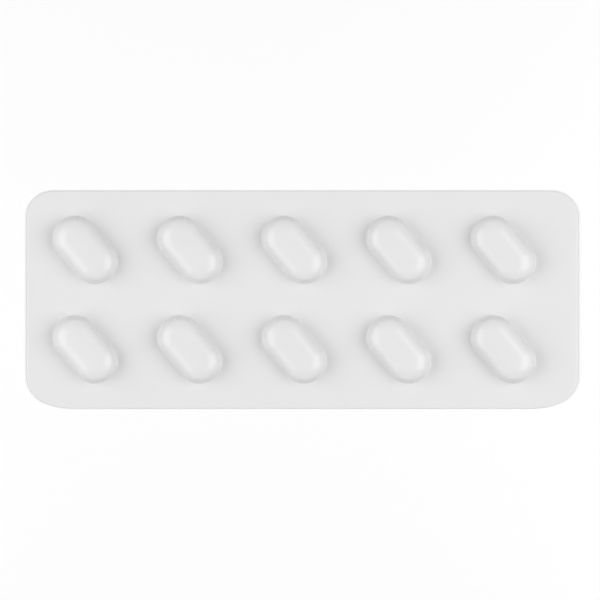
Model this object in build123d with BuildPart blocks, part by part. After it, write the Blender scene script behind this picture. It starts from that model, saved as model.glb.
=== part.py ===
from build123d import *
import os
from math import cos, radians, sin

# Tablet blister pack, in millimetres. A card of formed film, closed flat at the back, carries slanted
# oblong pockets in columns and rows. A sealed pack can't be seen into, so it is one solid.
# The back lies on z = 0 and the pockets rise towards +Z. The long side runs along X, and the origin is
# the middle of the card's outline.

# Layout of the card
columns = 5
rows = 2
column_web = 7.02  # flat film between the mouths of neighbouring columns
row_web = 5.46  # flat film between the mouths of the rows
end_margin = 4.63  # flat film from the outermost mouths to a short edge
side_margin = 4.39  # flat film from the outermost mouths to a long edge
coding_strip = 2.8  # further flat film, kept free along the +X edge

# Sheet: the film and the foil sealed to its back
film_gauge = 0.25
foil_gauge = 0.025

# Corners of the card: plain arcs at +Y, and at -Y a tight arc that runs out in a wide one
back_corner_radius = 4.5
front_tight_radius = 5.2
front_wide_radius = 13.2
front_tight_turn = 69.5  # degrees that the tight arc turns, of the corner's right angle

# Pocket: two round ends joined by straight sides
end_spacing = 5.4  # between the centres of the round ends
slant = 50.0  # degrees from the long side, falling towards +X
mouth_width = 7.5  # where the wall meets the flat film
crown_width = 6.3  # where the wall would meet the crown
pocket_height = 3.4  # crown above the flat film
crown_rise = 0.85  # middle of the crown above its rim
shoulder_radius = 0.7  # between wall and crown

# Worked out from the sizes above
right_angle = 90.0
sheet_thickness = film_gauge + foil_gauge
mouth_along_x = end_spacing * cos(radians(slant)) + mouth_width
mouth_along_y = end_spacing * sin(radians(slant)) + mouth_width
column_pitch = mouth_along_x + column_web
row_pitch = mouth_along_y + row_web
card_length = columns * column_pitch - column_web + 2 * end_margin + coding_strip
card_width = rows * row_pitch - row_web + 2 * side_margin
front_wide_turn = right_angle - front_tight_turn
front_corner_rise = (
    front_tight_radius * sin(radians(front_tight_turn))
    + front_wide_radius * (1 - sin(radians(front_tight_turn)))
)
crown_top = sheet_thickness + pocket_height
half_spacing = end_spacing / 2

# A pocket with the sheet that it stands on: the half section turned about the end centre makes a round
# end, its mirror image the other end, and the whole section drawn along joins them
with BuildPart() as pocket:
    with BuildSketch(Plane.YZ.offset(half_spacing)) as half_section:
        with BuildLine():
            axis_line = Line((0, 0), (0, crown_top))
            crown = TangentArc(
                axis_line @ 1,
                (crown_width / 2, crown_top - crown_rise),
                tangent=(1, 0),
            )
            wall = Line(crown @ 1, (mouth_width / 2, sheet_thickness))
            core = Line(wall @ 1, (mouth_width / 2, 0))
            Line(core @ 1, axis_line @ 0)
        make_face()
        fillet(half_section.vertices().sort_by_distance(wall @ 0)[0], radius=shoulder_radius)
    revolve(axis=Axis((half_spacing, 0, 0), (0, 0, 1)), revolution_arc=-2 * right_angle)
    mirror(about=Plane.YZ)
    with BuildSketch(Plane.YZ):
        add(half_section.sketch_local)
        mirror(about=Plane.YZ)
    extrude(amount=half_spacing, both=True)

# The sealed pack: the card's sheet with a pocket at every place of the grid
with BuildPart() as blister_pack:
    with BuildSketch() as outline:
        with BuildLine():
            back_edge = Line(
                (0, card_width / 2),
                (card_length / 2 - back_corner_radius, card_width / 2),
            )
            back_corner = JernArc(back_edge @ 1, back_edge % 1, back_corner_radius, -right_angle)
            side_edge = Line(back_corner @ 1, (card_length / 2, front_corner_rise - card_width / 2))
            tight_arc = JernArc(side_edge @ 1, side_edge % 1, front_tight_radius, -front_tight_turn)
            wide_arc = JernArc(tight_arc @ 1, tight_arc % 1, front_wide_radius, -front_wide_turn)
            Line(wide_arc @ 1, (0, -card_width / 2))
            mirror(about=Plane.YZ)
        make_face()
    extrude(amount=sheet_thickness)
    with Locations((-coding_strip / 2, 0)):
        with GridLocations(column_pitch, row_pitch, columns, rows):
            add(pocket.part, rotation=(0, 0, -slant))

blister_pack.part.label = "blister_pack"

os.makedirs("parts", exist_ok=True)
export_step(blister_pack.part, "parts/blister_pack.step")
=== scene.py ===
"""A sealed blister pack of tablets: white film with formed pockets, and foil across its back."""

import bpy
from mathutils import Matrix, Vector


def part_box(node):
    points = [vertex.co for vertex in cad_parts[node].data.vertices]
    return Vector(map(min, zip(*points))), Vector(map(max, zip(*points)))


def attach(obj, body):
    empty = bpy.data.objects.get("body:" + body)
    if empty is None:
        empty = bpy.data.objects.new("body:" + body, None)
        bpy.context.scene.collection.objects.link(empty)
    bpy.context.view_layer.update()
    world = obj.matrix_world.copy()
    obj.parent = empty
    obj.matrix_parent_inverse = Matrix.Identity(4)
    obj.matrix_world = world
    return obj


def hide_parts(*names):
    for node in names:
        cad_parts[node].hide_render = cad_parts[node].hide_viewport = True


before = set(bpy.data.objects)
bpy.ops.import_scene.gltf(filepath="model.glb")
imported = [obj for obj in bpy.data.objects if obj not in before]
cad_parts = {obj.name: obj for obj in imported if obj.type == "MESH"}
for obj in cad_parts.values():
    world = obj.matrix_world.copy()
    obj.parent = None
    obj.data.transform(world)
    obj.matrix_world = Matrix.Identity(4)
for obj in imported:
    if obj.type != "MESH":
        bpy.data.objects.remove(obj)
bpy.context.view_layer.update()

import logging
from collections.abc import Iterable
from dataclasses import dataclass
from enum import Enum, IntEnum
from math import asin, atan2, ceil, cos, hypot, pi, radians, sin, sqrt, tan
from typing import Any

import bmesh
import bpy
from bmesh.types import BMEdge, BMesh, BMFace, BMVert
from mathutils import Matrix, Vector, noise

MM = 0.001  # metres in a millimetre
NODE = "blister_pack"  # the sealed pack's node in the frame
BODY = "root"
HALF_TURN = pi
QUARTER_TURN = pi / 2
WELD = 1e-6  # metres, below which two vertices are one
HOLD_UP = 0.005  # metres between two loops while they are bridged
LOOKS_DOWN = -0.5  # Z of a face's normal, under which it looks down
WHITE = "#FFFFFF"
WHITE_GLOW = 1.0  # strength at which the camera sees a glow in its own colour

LOG = logging.getLogger("blister_pack")


class Slot(Enum):
    """The record's material slots."""

    FILM = "formed_film"
    FOIL = "lidding_foil"


class MixInput(IntEnum):
    """Inputs of a Mix node by number, because its kinds of data share their names."""

    FACTOR = 0
    NUMBER_A = 2
    NUMBER_B = 3
    COLOUR_A = 6
    COLOUR_B = 7


class MixOutput(IntEnum):
    """Outputs of a Mix node by number, because its kinds of data share their name."""

    NUMBER = 0
    COLOUR = 2


def once(items: Iterable[Any]) -> list[Any]:
    """Lists each item once, in the order in which they first come."""
    return list(dict.fromkeys(items))


def linear(hex_colour: str) -> tuple[float, float, float, float]:
    """Turns an sRGB colour to the linear one that a shader takes.

    Args:
        hex_colour: six hex digits after a hash sign.

    Returns:
        Red, green, blue and an alpha of one.
    """
    # The curve that the sRGB standard gives: a straight foot, and a power above it
    steps = [int(hex_colour[i : i + 2], 16) / 255 for i in (1, 3, 5)]
    red, green, blue = (s / 12.92 if s <= 0.04045 else ((s + 0.055) / 1.055) ** 2.4 for s in steps)
    return red, green, blue, 1.0


def add_node(
    tree: bpy.types.NodeTree,
    kind: str,
    settings: dict[str, Any] | None = None,
    inputs: dict[str, Any] | None = None,
) -> bpy.types.Node:
    """Adds a shader node with its settings, input values and links.

    Args:
        tree: the material's or world's node tree.
        kind: the node's type name.
        settings: properties of the node itself.
        inputs: for each input by name or number, a value, or another node's output to link to it.

    Returns:
        The new node.
    """
    node = tree.nodes.new(kind)
    for name, value in (settings or {}).items():
        setattr(node, name, value)
    for name, value in (inputs or {}).items():
        if isinstance(value, bpy.types.NodeSocket):
            tree.links.new(value, node.inputs[name])
        else:
            node.inputs[name].default_value = value
    return node


def new_material(name: str) -> tuple[bpy.types.Material, bpy.types.NodeTree]:
    """Makes an empty node material.

    Args:
        name: the material's name.

    Returns:
        The material and its cleared node tree.
    """
    material = bpy.data.materials.new(name)
    material.use_nodes = True
    material.node_tree.nodes.clear()
    return material, material.node_tree


def new_object(name: str, bm: BMesh, material: bpy.types.Material) -> bpy.types.Object:
    """Turns a bmesh into an object at the origin.

    Args:
        name: the piece's name.
        bm: the finished mesh, which is freed.
        material: what the whole piece is made of.

    Returns:
        The object, linked to the scene.
    """
    mesh = bpy.data.meshes.new(name)
    bm.to_mesh(mesh)
    bm.free()
    mesh.materials.append(material)
    mesh.validate()
    piece = bpy.data.objects.new(name, mesh)
    bpy.context.scene.collection.objects.link(piece)
    return piece


class Strand:
    """A line of edges that grows from one vertex by straight runs and arcs."""

    def __init__(self, bm: BMesh, start: Vector) -> None:
        """Starts the strand.

        Args:
            bm: the mesh that the strand grows in.
            start: where it begins.
        """
        self.bm = bm
        self.tip: BMVert = bmesh.ops.create_vert(bm, co=start)["vert"][0]
        self.edges: list[BMEdge] = []

    def run(self, offset: Vector, steps: int) -> None:
        """Grows the strand straight on.

        Args:
            offset: from its tip to its new tip.
            steps: edges that the run is made of.
        """
        for _ in range(steps):
            grown = bmesh.ops.extrude_vert_indiv(self.bm, verts=[self.tip])
            self.tip = grown["verts"][0]
            bmesh.ops.translate(self.bm, verts=[self.tip], vec=offset / steps)
            self.edges += grown["edges"]

    def turn(self, centre: Vector, axis: Vector, angle: float, steps: int) -> None:
        """Grows the strand along an arc.

        Args:
            centre: a point on the arc's axis.
            axis: direction of the arc's axis.
            angle: how far the arc turns, by the right-hand rule.
            steps: edges that the arc is made of.
        """
        before = set(self.bm.edges)
        grown = bmesh.ops.spin(
            self.bm,
            geom=[self.tip],
            cent=centre,
            axis=axis,
            angle=angle,
            steps=steps,
            use_merge=False,
        )
        self.tip = next(item for item in grown["geom_last"] if isinstance(item, BMVert))
        self.edges += [edge for edge in self.bm.edges if edge not in before]


@dataclass(frozen=True)
class OutlineSteps:
    """How many edges each stretch of the card's outline is cut into.

    All the stretches together have as many edges as the block of pocket cells has round it.
    """

    back_edge: int = 94
    back_corner: int = 16
    side_edge: int = 30
    front_tight_arc: int = 12
    front_wide_arc: int = 6
    front_edge: int = 86


@dataclass(frozen=True)
class CardShape:
    """The card's outline and levels, in metres, from the box of the CAD node.

    A back corner is one arc. A front corner is a tight arc that runs out into a wide one.
    """

    low: Vector
    high: Vector
    back_corner_radius: float = 4.5 * MM
    front_tight_radius: float = 5.2 * MM
    front_wide_radius: float = 13.2 * MM
    front_tight_turn: float = radians(69.5)
    sheet_thickness: float = 0.275 * MM  # of the film and the foil together
    steps: OutlineSteps = OutlineSteps()

    @property
    def length(self) -> float:
        """Length of the card, along X."""
        return self.high.x - self.low.x

    @property
    def width(self) -> float:
        """Width of the card, along Y."""
        return self.high.y - self.low.y

    @property
    def front_wide_turn(self) -> float:
        """What the wide arc of a front corner turns."""
        return QUARTER_TURN - self.front_tight_turn

    @property
    def front_corner_rise(self) -> float:
        """How far up the short edge a front corner reaches."""
        tight = self.front_tight_radius * sin(self.front_tight_turn)
        return tight + self.front_wide_radius * (1 - sin(self.front_tight_turn))

    @property
    def front_corner_reach(self) -> float:
        """How far along the front edge a front corner reaches."""
        tight = self.front_tight_radius * (1 - cos(self.front_tight_turn))
        return tight + self.front_wide_radius * cos(self.front_tight_turn)

    def draw_outline(self, bm: BMesh, level: float, inset: float = 0.0) -> list[BMEdge]:
        """Draws the closed outline at one level, clockwise from the back left corner.

        Args:
            bm: the mesh to draw it in.
            level: its height above the floor.
            inset: how far inside the card's own edge it runs.

        Returns:
            Its edges.
        """
        steps = self.steps
        down = Vector((0, 0, -1))
        back = self.back_corner_radius - inset
        tight = self.front_tight_radius - inset
        wide = self.front_wide_radius - inset
        back_run = self.length - 2 * self.back_corner_radius
        side_run = self.width - self.back_corner_radius - self.front_corner_rise
        front_run = self.length - 2 * self.front_corner_reach
        start = Vector((self.low.x + self.back_corner_radius, self.high.y - inset, level))
        strand = Strand(bm, start)

        strand.run(Vector((back_run, 0, 0)), steps.back_edge)
        strand.turn(strand.tip.co - Vector((0, back, 0)), down, QUARTER_TURN, steps.back_corner)
        strand.run(Vector((0, -side_run, 0)), steps.side_edge)
        tight_centre = strand.tip.co - Vector((tight, 0, 0))
        strand.turn(tight_centre, down, self.front_tight_turn, steps.front_tight_arc)
        outward = (strand.tip.co - tight_centre).normalized()
        wide_centre = strand.tip.co - wide * outward
        strand.turn(wide_centre, down, self.front_wide_turn, steps.front_wide_arc)
        strand.run(Vector((-front_run, 0, 0)), steps.front_edge)
        wide_centre = strand.tip.co + Vector((0, wide, 0))
        strand.turn(wide_centre, down, self.front_wide_turn, steps.front_wide_arc)
        outward = (strand.tip.co - wide_centre).normalized()
        tight_centre = strand.tip.co - tight * outward
        strand.turn(tight_centre, down, self.front_tight_turn, steps.front_tight_arc)
        strand.run(Vector((0, side_run, 0)), steps.side_edge)
        strand.turn(strand.tip.co + Vector((back, 0, 0)), down, QUARTER_TURN, steps.back_corner)

        verts = once(vert for edge in strand.edges for vert in edge.verts)
        bmesh.ops.remove_doubles(bm, verts=verts, dist=WELD)
        return once(edge for vert in verts if vert.is_valid for edge in vert.link_edges)


@dataclass(frozen=True)
class PocketForm:
    """The form of one pocket, in metres: two round ends joined by straight sides.

    Its crown is flatter in the middle and rounder in the ring about it. A shoulder follows, then a
    straight drafted wall and a small flare into the flat film.
    """

    end_spacing: float = 5.4 * MM
    slant: float = radians(50.0)  # from the card's long side
    mouth_width: float = 7.5 * MM  # where the wall's line meets the flat film
    crown_width: float = 6.3 * MM  # where the wall's line is as high as the crown's rim
    crown_rise: float = 0.85 * MM  # middle of the crown above its rim
    middle_radius: float = 14.0 * MM
    middle_reach: float = 1.04 * MM  # from the crown's middle to the ring
    ring_radius: float = 3.8 * MM
    shoulder_radius: float = 1.1 * MM
    flare_radius: float = 0.23 * MM

    middle_steps: int = 4
    ring_steps: int = 10
    shoulder_steps: int = 8
    wall_steps: int = 5
    flare_steps: int = 6
    end_steps: int = 36
    side_steps: int = 8

    @property
    def mouth_steps(self) -> int:
        """Edges round the pocket's mouth."""
        return 2 * (self.end_steps + self.side_steps)

    @property
    def half_spacing(self) -> float:
        """From the pocket's middle to the centre of a round end."""
        return self.end_spacing / 2

    @property
    def mouth_along_x(self) -> float:
        """How much of the card's length the mouth takes."""
        return self.end_spacing * cos(self.slant) + self.mouth_width

    @property
    def mouth_along_y(self) -> float:
        """How much of the card's width the mouth takes."""
        return self.end_spacing * sin(self.slant) + self.mouth_width

    def half_section(self, bm: BMesh, base: float, top: float) -> list[BMEdge]:
        """Draws the pocket's half section, from the middle of the crown to the flat film.

        Args:
            bm: the mesh to draw it in.
            base: level of the flat film's upper face.
            top: level of the middle of the crown.

        Returns:
            The section's edges, in the plane where X is half the spacing of the round ends.
        """
        axis = Vector((-1, 0, 0))
        x = self.half_spacing
        crown_half = self.crown_width / 2
        mouth_half = self.mouth_width / 2
        rim = Vector((x, crown_half, top - self.crown_rise))
        foot = Vector((x, mouth_half, base))
        down_wall = (foot - rim).normalized()
        inward = Vector((0, down_wall.z, -down_wall.y))

        middle_centre = Vector((x, 0, top - self.middle_radius))
        middle_turn = asin(self.middle_reach / self.middle_radius)
        outward = Vector((0, sin(middle_turn), cos(middle_turn)))
        ring_centre = middle_centre + (self.middle_radius - self.ring_radius) * outward

        # The shoulder's arc touches the wall and, from inside, the ring's arc. Its centre is found along
        # the wall from the rim, at the shoulder's radius inwards
        from_ring = rim + self.shoulder_radius * inward - ring_centre
        along = from_ring.dot(down_wall)
        reach = self.ring_radius - self.shoulder_radius
        slide = -along - sqrt(along**2 + reach**2 - from_ring.length_squared)
        shoulder_centre = ring_centre + from_ring + slide * down_wall
        to_shoulder = shoulder_centre - ring_centre
        ring_end = atan2(to_shoulder.y, to_shoulder.z)
        wall_lean = atan2(down_wall.y, -down_wall.z)
        shoulder_turn = QUARTER_TURN - wall_lean - ring_end

        # The flare's arc touches the wall and the flat film, both at the same way from their corner
        flare_turn = QUARTER_TURN - wall_lean
        flare_cut = self.flare_radius * tan(flare_turn / 2)
        flare_centre = foot + Vector((0, flare_cut, self.flare_radius))
        wall_top = shoulder_centre - self.shoulder_radius * inward
        wall_run = foot - flare_cut * down_wall - wall_top

        strand = Strand(bm, Vector((x, 0, top)))
        strand.turn(middle_centre, axis, middle_turn, self.middle_steps)
        strand.turn(ring_centre, axis, ring_end - middle_turn, self.ring_steps)
        strand.turn(shoulder_centre, axis, shoulder_turn, self.shoulder_steps)
        strand.run(wall_run, self.wall_steps)
        strand.turn(flare_centre, -axis, flare_turn, self.flare_steps)
        return strand.edges


@dataclass(frozen=True)
class PocketGrid:
    """Where the pockets stand on the card, in metres."""

    pocket: PocketForm
    columns: int = 5
    rows: int = 2
    column_web: float = 7.02 * MM  # flat film between the mouths of neighbouring columns
    row_web: float = 5.46 * MM  # and between those of the rows
    coding_strip: float = 2.8 * MM  # further flat film, kept free at the right-hand end

    @property
    def column_pitch(self) -> float:
        """From one column to the next."""
        return self.pocket.mouth_along_x + self.column_web

    @property
    def row_pitch(self) -> float:
        """From one row to the next."""
        return self.pocket.mouth_along_y + self.row_web

    @property
    def middle(self) -> float:
        """X of the grid's middle, which the coding strip pushes off the card's."""
        return -self.coding_strip / 2

    def places(self) -> list[Vector]:
        """Works out where the pockets stand.

        Returns:
            The middles of the pockets, row by row, on the floor.
        """
        first_x = self.middle - (self.columns - 1) / 2 * self.column_pitch
        first_y = -(self.rows - 1) / 2 * self.row_pitch
        columns = [first_x + i * self.column_pitch for i in range(self.columns)]
        rows = [first_y + j * self.row_pitch for j in range(self.rows)]
        return [Vector((x, y, 0)) for y in rows for x in columns]


def bridge(bm: BMesh, inner: list[BMEdge], outer: list[BMEdge], rings: int) -> None:
    """Joins two closed loops that lie in one plane with a band of faces.

    Args:
        bm: the mesh that holds both loops.
        inner: edges of the inner loop.
        outer: edges of the outer loop.
        rings: rows of faces that the band gets.
    """
    if len(inner) != len(outer):
        raise ValueError(f"loops of {len(inner)} and {len(outer)} edges don't pair up")
    # Loops in one plane don't tell which way round they pair up, so the inner one is held up
    held = once(vert for edge in inner for vert in edge.verts)
    bmesh.ops.translate(bm, verts=held, vec=(0, 0, HOLD_UP))
    band = bmesh.ops.bridge_loops(bm, edges=inner + outer)
    bmesh.ops.translate(bm, verts=held, vec=(0, 0, -HOLD_UP))
    loops = set(inner) | set(outer)
    spokes = [edge for edge in band["edges"] if edge not in loops]
    bmesh.ops.subdivide_edges(bm, edges=spokes, cuts=rings - 1, use_grid_fill=True)


@dataclass(frozen=True)
class OpaqueFilm:
    """White pigmented PVC film, calendered and then vacuum formed.

    The pigment makes it opaque, so light stops at its skin. The rolls leave it satin, with a skin that
    waves very faintly, which softens and breaks up its highlights.

    A pattern's detail says how many finer ones lie over it, and its grain how strong those are.
    """

    colour: str = "#E4E4E4"
    shade: str = "#E1E1E1"
    roughness: float = 0.3
    roughness_spread: float = 0.024  # either way
    ior: float = 1.54
    cloud_size: float = 9.0 * MM  # patches of a faintly different white and gloss
    cloud_detail: float = 2.0
    cloud_grain: float = 0.5
    skin_wave: float = 2.2 * MM  # from crest to crest
    skin_height: float = 0.004 * MM
    skin_detail: float = 3.0
    skin_grain: float = 0.55

    def material(self) -> bpy.types.Material:
        """Makes the film's material.

        Returns:
            The material.
        """
        material, tree = new_material("calendered_white_film")
        place = add_node(tree, "ShaderNodeTexCoord").outputs["Object"]
        cloud = add_node(
            tree,
            "ShaderNodeTexNoise",
            inputs={
                "Vector": place,
                "Scale": 1 / self.cloud_size,
                "Detail": self.cloud_detail,
                "Roughness": self.cloud_grain,
            },
        )
        colour = add_node(
            tree,
            "ShaderNodeMix",
            {"data_type": "RGBA"},
            {
                MixInput.FACTOR: cloud.outputs["Fac"],
                MixInput.COLOUR_A: linear(self.shade),
                MixInput.COLOUR_B: linear(self.colour),
            },
        )
        roughness = add_node(
            tree,
            "ShaderNodeMapRange",
            inputs={
                "Value": cloud.outputs["Fac"],
                "To Min": self.roughness - self.roughness_spread,
                "To Max": self.roughness + self.roughness_spread,
            },
        )
        wave = add_node(
            tree,
            "ShaderNodeTexNoise",
            inputs={
                "Vector": place,
                "Scale": 1 / self.skin_wave,
                "Detail": self.skin_detail,
                "Roughness": self.skin_grain,
            },
        )
        skin = add_node(
            tree,
            "ShaderNodeBump",
            inputs={"Height": wave.outputs["Fac"], "Distance": self.skin_height},
        )
        shader = add_node(
            tree,
            "ShaderNodeBsdfPrincipled",
            inputs={
                "Base Color": colour.outputs[MixOutput.COLOUR],
                "Roughness": roughness.outputs["Result"],
                "IOR": self.ior,
                "Normal": skin.outputs["Normal"],
            },
        )
        add_node(tree, "ShaderNodeOutputMaterial", inputs={"Surface": shader.outputs["BSDF"]})
        return material


@dataclass(frozen=True)
class RolledFoil:
    """Hard aluminium foil, bright rolled.

    The rolls leave fine lines along the web, which draw the reflections out across it. The sealed sheet
    is never quite flat, which makes them waver.

    A pattern's detail says how many finer ones lie over it, and its grain how strong those are.
    """

    colour: str = "#D6D7D9"
    metallic: float = 1.0
    roughness: float = 0.27
    line_width: float = 0.12 * MM  # wider than real roll lines, which are too fine to show
    line_stretch: float = 40.0  # how many times longer than wide a line is
    line_depth: float = 0.0015 * MM
    line_detail: float = 2.0
    line_grain: float = 0.6
    waver_size: float = 5.0 * MM  # from one high place of the sheet to the next
    waver_depth: float = 0.035 * MM
    waver_detail: float = 1.0
    waver_grain: float = 0.4

    def material(self) -> bpy.types.Material:
        """Makes the foil's material.

        Returns:
            The material.
        """
        material, tree = new_material("rolled_aluminium_foil")
        place = add_node(tree, "ShaderNodeTexCoord").outputs["Object"]
        drawn_out = add_node(
            tree,
            "ShaderNodeMapping",
            inputs={"Vector": place, "Scale": (1 / self.line_stretch, 1, 1)},
        ).outputs["Vector"]
        lines = add_node(
            tree,
            "ShaderNodeTexNoise",
            inputs={
                "Vector": drawn_out,
                "Scale": 1 / self.line_width,
                "Detail": self.line_detail,
                "Roughness": self.line_grain,
            },
        )
        waver = add_node(
            tree,
            "ShaderNodeTexNoise",
            inputs={
                "Vector": place,
                "Scale": 1 / self.waver_size,
                "Detail": self.waver_detail,
                "Roughness": self.waver_grain,
            },
        )
        sheet = add_node(
            tree,
            "ShaderNodeBump",
            inputs={"Height": waver.outputs["Fac"], "Distance": self.waver_depth},
        )
        skin = add_node(
            tree,
            "ShaderNodeBump",
            inputs={
                "Height": lines.outputs["Fac"],
                "Distance": self.line_depth,
                "Normal": sheet.outputs["Normal"],
            },
        )
        shader = add_node(
            tree,
            "ShaderNodeBsdfPrincipled",
            inputs={
                "Base Color": linear(self.colour),
                "Metallic": self.metallic,
                "Roughness": self.roughness,
                "Normal": skin.outputs["Normal"],
            },
        )
        add_node(tree, "ShaderNodeOutputMaterial", inputs={"Surface": shader.outputs["BSDF"]})
        return material


@dataclass(frozen=True)
class FormedFilm:
    """The white film: a flat card with its pockets drawn up out of it, smooth on every side."""

    card: CardShape
    grid: PocketGrid
    base: float  # level of the film's underside, which the foil is sealed to
    block_margin_x: float = 1.5 * MM  # from the outermost mouths to the edge of the block of cells
    block_margin_y: float = 1.4 * MM
    cell_rings: int = 7
    margin_rings: int = 5
    cut_radius: float = 0.17 * MM  # the die rolls the film over where it cuts
    cut_steps: int = 4
    settle_depth: float = 0.03 * MM  # how far the sealed film sinks between its high places
    settle_span: float = 11.0 * MM  # from one high place to the next

    def build(self, finish: OpaqueFilm) -> bpy.types.Object:
        """Models the film and dresses it.

        Args:
            finish: the film's material.

        Returns:
            The finished piece.
        """
        bm = bmesh.new()
        edge_line = self.card.draw_outline(bm, self.card.sheet_thickness)
        mouths = self._raise_pockets(bm)
        cells = self._lay_cells(bm)
        for mouth, cell in zip(mouths, cells):
            bridge(bm, mouth, cell, self.cell_rings)
        rim = [edge for edge in bm.edges if edge.is_boundary]
        bridge(bm, rim, edge_line, self.margin_rings)
        self._close(bm)
        self._settle(bm)
        for face in bm.faces:
            face.smooth = True
        return new_object("formed_film", bm, finish.material())

    def _raise_pockets(self, bm: BMesh) -> list[list[BMEdge]]:
        """Copies the pocket to every place.

        Args:
            bm: the mesh that the pockets are made in.

        Returns:
            For each place, the edges round the pocket's mouth.
        """
        pocket = self._spin_pocket()
        mouths = []
        for place in self.grid.places():
            before = set(bm.edges)
            bm.from_mesh(pocket)
            edges = [edge for edge in bm.edges if edge not in before]
            verts = once(vert for edge in edges for vert in edge.verts)
            bmesh.ops.translate(bm, verts=verts, vec=place)
            mouths.append([edge for edge in edges if edge.is_boundary])
        bpy.data.meshes.remove(pocket)
        return mouths

    def _spin_pocket(self) -> bpy.types.Mesh:
        """Spins one pocket out of its half section.

        Returns:
            The pocket at the origin, in its slant, open at the mouth.
        """
        form = self.grid.pocket
        bm = bmesh.new()
        section = form.half_section(bm, self.card.sheet_thickness, self.card.high.z)
        bmesh.ops.spin(
            bm,
            geom=bm.verts[:] + section,
            cent=(form.half_spacing, 0, 0),
            axis=(0, 0, -1),
            angle=HALF_TURN,
            steps=form.end_steps,
            use_merge=False,
        )
        bmesh.ops.remove_doubles(bm, verts=bm.verts[:], dist=WELD)
        rim = [edge for edge in bm.edges if edge.is_boundary]
        side = [edge for edge in rim if self._in_plane(edge, form.half_spacing)]
        for _ in range(form.side_steps // 2):
            grown = bmesh.ops.extrude_edge_only(bm, edges=side)["geom"]
            verts = [item for item in grown if isinstance(item, BMVert)]
            side = [item for item in grown if isinstance(item, BMEdge)]
            bmesh.ops.translate(bm, verts=verts, vec=(-form.end_spacing / form.side_steps, 0, 0))
        geom = bm.verts[:] + bm.edges[:] + bm.faces[:]
        bmesh.ops.mirror(bm, geom=geom, axis="X", merge_dist=WELD)
        bmesh.ops.remove_doubles(bm, verts=bm.verts[:], dist=WELD)
        bmesh.ops.rotate(bm, verts=bm.verts[:], matrix=Matrix.Rotation(-form.slant, 3, "Z"))
        pocket = bpy.data.meshes.new("pocket")
        bm.to_mesh(pocket)
        bm.free()
        return pocket

    @staticmethod
    def _in_plane(edge: BMEdge, x: float) -> bool:
        """Whether an edge lies in the plane across X."""
        return all(abs(vert.co.x - x) < WELD for vert in edge.verts)

    def _lay_cells(self, bm: BMesh) -> list[list[BMEdge]]:
        """Lays a block of flat cells, one for each pocket, and takes out their faces.

        Args:
            bm: the mesh that the cells are made in.

        Returns:
            For each place, the edges round its cell.
        """
        grid, form = self.grid, self.grid.pocket
        last_column = (grid.columns - 1) / 2 * grid.column_pitch
        last_row = (grid.rows - 1) / 2 * grid.row_pitch
        half_x = last_column + form.mouth_along_x / 2 + self.block_margin_x
        half_y = last_row + form.mouth_along_y / 2 + self.block_margin_y
        level = self.card.sheet_thickness
        made = bmesh.ops.create_grid(bm, x_segments=1, y_segments=1, size=1.0)
        verts = made["verts"]
        bmesh.ops.scale(bm, verts=verts, vec=(half_x, half_y, 1))
        bmesh.ops.translate(bm, verts=verts, vec=(grid.middle, 0, level))
        block = once(face for vert in verts for face in vert.link_faces)
        for i in range(1, grid.columns):
            x = grid.middle + (i - grid.columns / 2) * grid.column_pitch
            block = self._cut(bm, block, Vector((x, 0, 0)), Vector((1, 0, 0)))
        for j in range(1, grid.rows):
            y = (j - grid.rows / 2) * grid.row_pitch
            block = self._cut(bm, block, Vector((0, y, 0)), Vector((0, 1, 0)))
        sides = once(edge for face in block for edge in face.edges)
        edges_a_side = form.mouth_steps // 4
        bmesh.ops.subdivide_edges(bm, edges=sides, cuts=edges_a_side - 1)

        cells = []
        for place in grid.places():
            face = min(block, key=lambda cell: self._from_place(cell, place))
            cells.append(list(face.edges))
        bmesh.ops.delete(bm, geom=block, context="FACES_ONLY")
        return cells

    @staticmethod
    def _cut(bm: BMesh, faces: list[BMFace], point: Vector, normal: Vector) -> list[BMFace]:
        """Cuts faces by a plane.

        Args:
            bm: the mesh that holds the faces.
            faces: the faces to cut.
            point: a point of the plane.
            normal: the plane's normal.

        Returns:
            The faces after the cut.
        """
        edges = once(edge for face in faces for edge in face.edges)
        verts = once(vert for face in faces for vert in face.verts)
        geom = faces + edges + verts
        cut = bmesh.ops.bisect_plane(bm, geom=geom, plane_co=point, plane_no=normal)
        return [item for item in cut["geom"] if isinstance(item, BMFace)]

    @staticmethod
    def _from_place(face: BMFace, place: Vector) -> float:
        """Distance on the card from a face's middle to a pocket's place."""
        middle = face.calc_center_median()
        return hypot(middle.x - place.x, middle.y - place.y)

    def _close(self, bm: BMesh) -> None:
        """Gives the film its rolled cut edge and its flat underside.

        Args:
            bm: the mesh, open along the card's outline.
        """
        top = [edge for edge in bm.edges if edge.is_boundary]
        drop = Vector((0, 0, self.base - self.card.sheet_thickness))
        grown = bmesh.ops.extrude_edge_only(bm, edges=top)["geom"]
        bottom_verts = [item for item in grown if isinstance(item, BMVert)]
        bottom_edges = [item for item in grown if isinstance(item, BMEdge)]
        bmesh.ops.translate(bm, verts=bottom_verts, vec=drop)
        bmesh.ops.contextual_create(bm, geom=bottom_edges)
        bmesh.ops.recalc_face_normals(bm, faces=bm.faces[:])
        for edge in bottom_edges:
            edge.smooth = False
        bmesh.ops.bevel(
            bm,
            geom=top,
            offset=self.cut_radius,
            offset_type="OFFSET",
            segments=self.cut_steps,
            profile=0.5,
            affect="EDGES",
            material=-1,
        )

    def _settle(self, bm: BMesh) -> None:
        """Sinks the film by a soft, uneven depth, as sealing leaves it, and keeps its underside flat.

        Args:
            bm: the closed mesh.
        """
        for vert in bm.verts:
            if vert.co.z > self.base + WELD:
                wave = noise.noise(vert.co.xy.to_3d() / self.settle_span)
                vert.co.z -= self.settle_depth * (1 + wave) / 2


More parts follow.
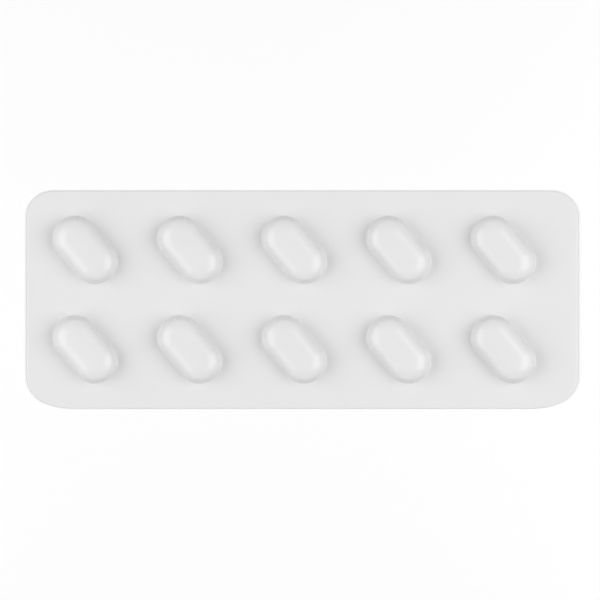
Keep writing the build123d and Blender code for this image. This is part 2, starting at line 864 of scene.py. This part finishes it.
@dataclass(frozen=True)
class LiddingFoil:
    """The foil across the back: a thin sheet with the knurl that the sealing plate pressed into it.

    Each pad of the knurl is a pyramid with a flat foot, on which the pack lies. The plate is cut away
    under the pockets, so the foil is smooth there, and so is a strip along the card's edge.
    """

    card: CardShape
    grid: PocketGrid
    knurl_height: float = 0.05 * MM
    gauge: float = 0.03 * MM
    inset: float = 0.03 * MM  # how far inside the film's edge the foil ends
    pad_pitch: float = 1.1 * MM
    pad_root: float = 0.012 * MM  # how deep a pad stands in the sheet
    pad_taper: float = 0.24 * MM  # how much narrower a pad's foot is, on each side
    rim_margin: float = 1.2 * MM  # smooth foil along the card's edge
    pocket_margin: float = 0.35 * MM  # smooth foil round a pocket's mouth

    @property
    def top(self) -> float:
        """Level at which the foil meets the film."""
        return self.knurl_height + self.gauge

    def build(self, finish: RolledFoil) -> bpy.types.Object:
        """Models the foil and dresses it.

        Args:
            finish: the foil's material.

        Returns:
            The finished piece.
        """
        bm = bmesh.new()
        self._knurl(bm)
        self._lay_sheet(bm)
        bmesh.ops.recalc_face_normals(bm, faces=bm.faces[:])
        return new_object("lidding_foil", bm, finish.material())

    def _knurl(self, bm: BMesh) -> None:
        """Presses the field of pads, in a grid that is turned by half a right angle.

        Args:
            bm: the empty mesh to make them in.
        """
        cells = ceil(hypot(self.card.length, self.card.width) / self.pad_pitch)
        level = Matrix.Translation((0, 0, self.knurl_height + self.pad_root))
        bmesh.ops.create_grid(
            bm,
            x_segments=cells,
            y_segments=cells,
            size=cells * self.pad_pitch / 2,
            matrix=level @ Matrix.Rotation(QUARTER_TURN / 2, 4, "Z"),
        )
        bare = [face for face in bm.faces if not self._is_sealed(face.calc_center_median())]
        bmesh.ops.delete(bm, geom=bare, context="FACES")
        bmesh.ops.split_edges(bm, edges=bm.edges[:])
        bmesh.ops.solidify(bm, geom=bm.faces[:], thickness=self.pad_root)
        bmesh.ops.recalc_face_normals(bm, faces=bm.faces[:])
        feet = [face for face in bm.faces if face.normal.z < LOOKS_DOWN]
        taper, height = self.pad_taper, self.knurl_height
        bmesh.ops.inset_individual(bm, faces=feet, thickness=taper, depth=height)

    def _is_sealed(self, point: Vector) -> bool:
        """Tells whether the sealing plate presses a pad at a point.

        Args:
            point: the middle of the pad.

        Returns:
            Whether the pad would be clear of the card's edge and of every pocket.
        """
        half_pad = self.pad_pitch / 2
        corner_radius = self.card.front_tight_radius
        from_centre_x = max(abs(point.x) - self.card.length / 2 + corner_radius, 0)
        from_centre_y = max(abs(point.y) - self.card.width / 2 + corner_radius, 0)
        if hypot(from_centre_x, from_centre_y) > corner_radius - self.rim_margin - half_pad:
            return False
        form = self.grid.pocket
        along = Vector((cos(form.slant), -sin(form.slant)))
        clear = form.mouth_width / 2 + self.pocket_margin + half_pad
        for place in self.grid.places():
            away = (point - place).xy
            offset = max(-form.half_spacing, min(form.half_spacing, away.dot(along)))
            if (away - offset * along).length < clear:
                return False
        return True

    def _lay_sheet(self, bm: BMesh) -> None:
        """Lays the sheet that the pads stand on.

        Args:
            bm: the mesh that holds the pads.
        """
        edge_line = self.card.draw_outline(bm, self.knurl_height, self.inset)
        sheet = bmesh.ops.contextual_create(bm, geom=edge_line)["faces"]
        grown = bmesh.ops.extrude_face_region(bm, geom=sheet, use_keep_orig=True)["geom"]
        verts = [item for item in grown if isinstance(item, BMVert)]
        bmesh.ops.translate(bm, verts=verts, vec=(0, 0, self.gauge))


@dataclass(frozen=True)
class WhiteFloor:
    """Matt white studio paper, rolled out flat: a plain ground that keeps the pack's shadow.

    It lights the pack as a pale grey, but the camera and reflections see it white. Round the pack that
    white is lit, so that the shadow shows. Further out, where the lamps don't reach, it is even.
    """

    colour: str = "#E6E6E6"
    seen_colour: str = "#F7F7F7"
    far_colour: str = WHITE
    lit_reach: float = 110.0 * MM  # from the pack's middle to where the lit paper starts to give way
    even_from: float = 200.0 * MM  # and to where the even white is all there is

    def material(self) -> bpy.types.Material:
        """Makes the floor's material.

        Returns:
            The material.
        """
        material, tree = new_material("studio_paper")
        path = add_node(tree, "ShaderNodeLightPath")
        seen = path.outputs["Is Camera Ray"]
        for ray in ("Is Glossy Ray", "Is Transmission Ray"):
            seen = add_node(
                tree,
                "ShaderNodeMath",
                {"operation": "MAXIMUM"},
                {0: seen, 1: path.outputs[ray]},
            ).outputs["Value"]
        place = add_node(tree, "ShaderNodeTexCoord").outputs["Object"]
        away = add_node(tree, "ShaderNodeVectorMath", {"operation": "LENGTH"}, {"Vector": place})
        outer = add_node(
            tree,
            "ShaderNodeMapRange",
            {"interpolation_type": "SMOOTHSTEP"},
            {
                "Value": away.outputs["Value"],
                "From Min": self.lit_reach,
                "From Max": self.even_from,
                "To Max": seen,
            },
        )
        colour = add_node(
            tree,
            "ShaderNodeMix",
            {"data_type": "RGBA"},
            {
                MixInput.FACTOR: seen,
                MixInput.COLOUR_A: linear(self.colour),
                MixInput.COLOUR_B: linear(self.seen_colour),
            },
        )
        paper = add_node(
            tree,
            "ShaderNodeBsdfDiffuse",
            inputs={"Color": colour.outputs[MixOutput.COLOUR]},
        )
        glow = add_node(
            tree,
            "ShaderNodeEmission",
            inputs={"Color": linear(self.far_colour), "Strength": WHITE_GLOW},
        )
        ground = add_node(
            tree,
            "ShaderNodeMixShader",
            inputs={
                "Fac": outer.outputs["Result"],
                1: paper.outputs["BSDF"],
                2: glow.outputs["Emission"],
            },
        )
        add_node(tree, "ShaderNodeOutputMaterial", inputs={"Surface": ground.outputs["Shader"]})
        return material


@dataclass(frozen=True)
class SoftBox:
    """A long soft box, turned to the pack, in metres, watts and radians."""

    name: str
    azimuth: float  # anticlockwise from +X, seen from above
    height_angle: float  # above the floor, as the pack sees it
    distance: float
    width: float
    length: float
    power: float

    def hang(self) -> None:
        """Hangs the soft box, with its length level and across the line to the pack."""
        light = bpy.data.lights.new(self.name, "AREA")
        light.shape = "RECTANGLE"
        light.size = self.width
        light.size_y = self.length
        light.energy = self.power
        lamp = bpy.data.objects.new(self.name, light)
        level = Vector((cos(self.azimuth), sin(self.azimuth), 0))
        out = cos(self.height_angle) * level + Vector((0, 0, sin(self.height_angle)))
        lamp.location = self.distance * out
        lamp.rotation_euler = out.to_track_quat("Z", "X").to_euler()
        bpy.context.scene.collection.objects.link(lamp)


LEFT_BOX = SoftBox(
    name="soft_box_left",
    azimuth=radians(183.0),
    height_angle=radians(38.1),
    distance=0.432,
    width=0.328,
    length=0.47,
    power=1.1,
)
RIGHT_BOX = SoftBox(
    name="soft_box_right",
    azimuth=radians(-1.3),
    height_angle=radians(44.7),
    distance=0.435,
    width=0.32,
    length=0.406,
    power=1.12,
)


@dataclass(frozen=True)
class Studio:
    """The floor, the soft lights and the camera, in metres, watts and radians."""

    floor_size: float = 4.0
    floor_cells: int = 8
    floor_level: float = -0.02 * MM  # a hair under the pack, so that the two never share a plane
    soft_boxes: tuple[SoftBox, ...] = (LEFT_BOX, RIGHT_BOX)
    sky_strength: float = 0.43  # as it lights the pack
    sky_colour: str = WHITE

    sensor_width: float = 36.0 * MM
    camera_distance: float = 1.6
    photo_side: int = 600  # pixels, as the next three
    card_length_pixels: float = 551.5
    card_middle_pixel_x: float = 302.4
    card_middle_pixel_y: float = 299.7
    card_length: float = 95.0 * MM

    @property
    def pixel_size(self) -> float:
        """What a pixel of the photograph covers on the card."""
        return self.card_length / self.card_length_pixels

    def build(self) -> None:
        """Sets up the whole studio."""
        self._lay_floor()
        for soft_box in self.soft_boxes:
            soft_box.hang()
        self._light_sky()
        self._place_camera()

    def _lay_floor(self) -> None:
        """Lays the floor under the pack."""
        bm = bmesh.new()
        bmesh.ops.create_grid(
            bm,
            x_segments=self.floor_cells,
            y_segments=self.floor_cells,
            size=self.floor_size / 2,
            matrix=Matrix.Translation((0, 0, self.floor_level)),
        )
        new_object("studio_floor", bm, WhiteFloor().material())

    def _light_sky(self) -> None:
        """Fills the room with even white light, which the camera sees as full white."""
        world = bpy.data.worlds.new("studio_sky")
        world.use_nodes = True
        tree = world.node_tree
        tree.nodes.clear()
        path = add_node(tree, "ShaderNodeLightPath")
        strength = add_node(
            tree,
            "ShaderNodeMix",
            {"data_type": "FLOAT"},
            {
                MixInput.FACTOR: path.outputs["Is Camera Ray"],
                MixInput.NUMBER_A: self.sky_strength,
                MixInput.NUMBER_B: WHITE_GLOW,
            },
        )
        glow = add_node(
            tree,
            "ShaderNodeBackground",
            inputs={
                "Color": linear(self.sky_colour),
                "Strength": strength.outputs[MixOutput.NUMBER],
            },
        )
        add_node(tree, "ShaderNodeOutputWorld", inputs={"Surface": glow.outputs["Background"]})
        bpy.context.scene.world = world

    def _place_camera(self) -> None:
        """Looks straight down on the pack, in the frame of the photograph."""
        data = bpy.data.cameras.new("camera")
        data.sensor_width = self.sensor_width / MM
        data.sensor_fit = "HORIZONTAL"
        frame_side = self.photo_side * self.pixel_size
        data.lens = self.sensor_width / MM * self.camera_distance / frame_side
        camera = bpy.data.objects.new("camera", data)
        middle = self.photo_side / 2
        camera.location = (
            (middle - self.card_middle_pixel_x) * self.pixel_size,
            (self.card_middle_pixel_y - middle) * self.pixel_size,
            self.camera_distance,
        )
        bpy.context.scene.collection.objects.link(camera)
        bpy.context.scene.camera = camera


def main() -> None:
    """Builds the pack piece by piece, then the studio."""
    logging.basicConfig(level=logging.INFO, format="%(name)s: %(message)s")
    bpy.context.scene.view_settings.view_transform = "Standard"

    low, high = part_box(NODE)
    card = CardShape(low, high)
    grid = PocketGrid(PocketForm())

    foil = LiddingFoil(card, grid)
    foil_piece = foil.build(RolledFoil())
    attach(foil_piece, BODY)
    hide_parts(NODE)
    LOG.info("lidding_foil: %d faces", len(foil_piece.data.polygons))

    film_piece = FormedFilm(card, grid, base=foil.top).build(OpaqueFilm())
    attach(film_piece, BODY)
    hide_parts(NODE)
    LOG.info("formed_film: %d faces", len(film_piece.data.polygons))

    Studio().build()


if __name__ == "__main__":
    main()
